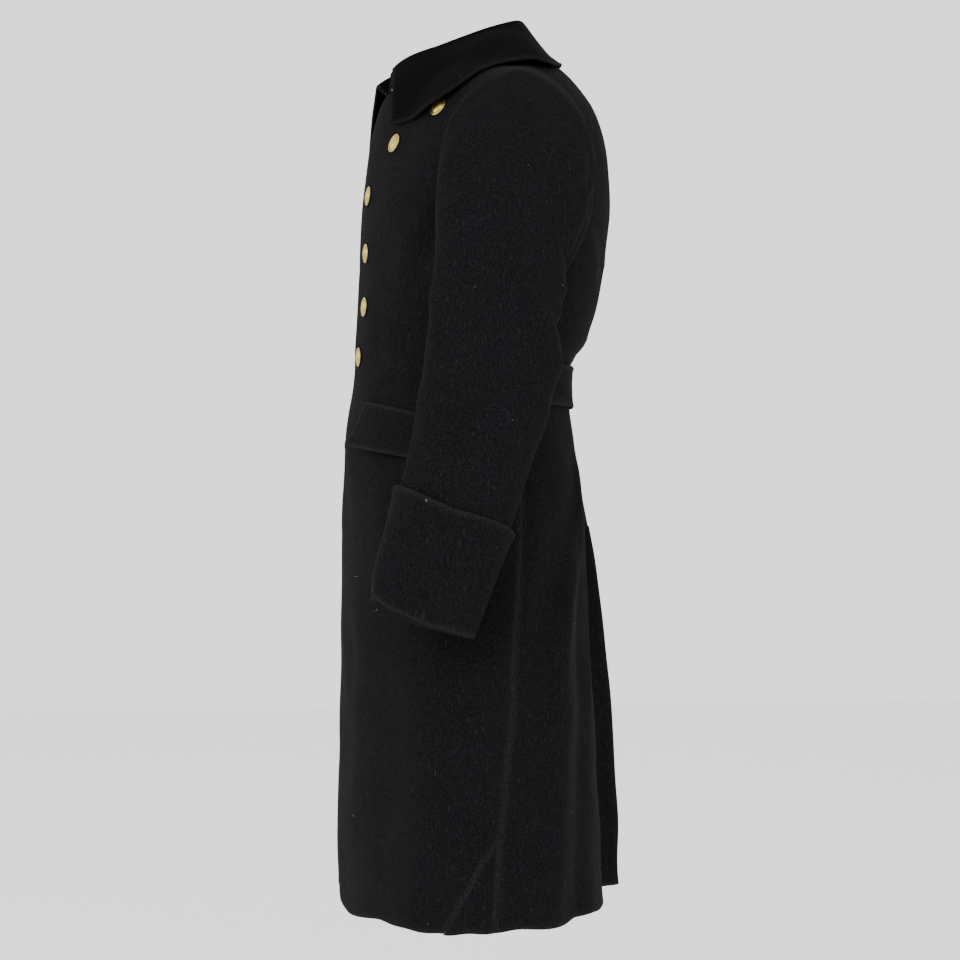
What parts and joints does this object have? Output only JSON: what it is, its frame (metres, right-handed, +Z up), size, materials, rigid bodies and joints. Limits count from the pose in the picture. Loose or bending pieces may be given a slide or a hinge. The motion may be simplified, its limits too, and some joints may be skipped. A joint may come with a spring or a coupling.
{
  "type": "military greatcoat",
  "caption": "Black wool double-breasted greatcoat, hollow and hanging as worn, with a turn-down collar, brass domed buttons, turn-back cuffs, slanted flaps and a half belt",
  "frame": {"origin": "centre of the neck base at the height of the shoulders, where the wearer's shoulders carry the coat", "axes": "+Z up along the coat's length, -Y to the front, +X to the wearer's left"},
  "size_m": [0.712, 0.367, 1.1259],
  "materials": {
    "melton_wool": "matte, napped",
    "collar_wool": "matte, smooth",
    "button_brass": "satin"
  },
  "bodies": {
    "root": {"front_left": "melton_wool", "front_right": "melton_wool", "back_left": "melton_wool", "back_right": "melton_wool", "vent_underlap": "melton_wool", "hem_wedge_left": "melton_wool", "hem_wedge_right": "melton_wool", "top_sleeve_left": "melton_wool", "under_sleeve_left": "melton_wool", "cuff_left": "melton_wool", "top_sleeve_right": "melton_wool", "under_sleeve_right": "melton_wool", "cuff_right": "melton_wool", "collar": "collar_wool", "pocket_flap_left": "melton_wool", "pocket_flap_right": "melton_wool", "half_belt": "melton_wool", "button_left_1": "button_brass", "button_left_2": "button_brass", "button_left_3": "button_brass", "button_left_4": "button_brass", "button_left_5": "button_brass", "button_left_6": "button_brass", "button_right_1": "button_brass", "button_right_2": "button_brass", "button_right_3": "button_brass", "button_right_4": "button_brass", "button_right_5": "button_brass", "button_right_6": "button_brass"}
  },
  "joints": []
}
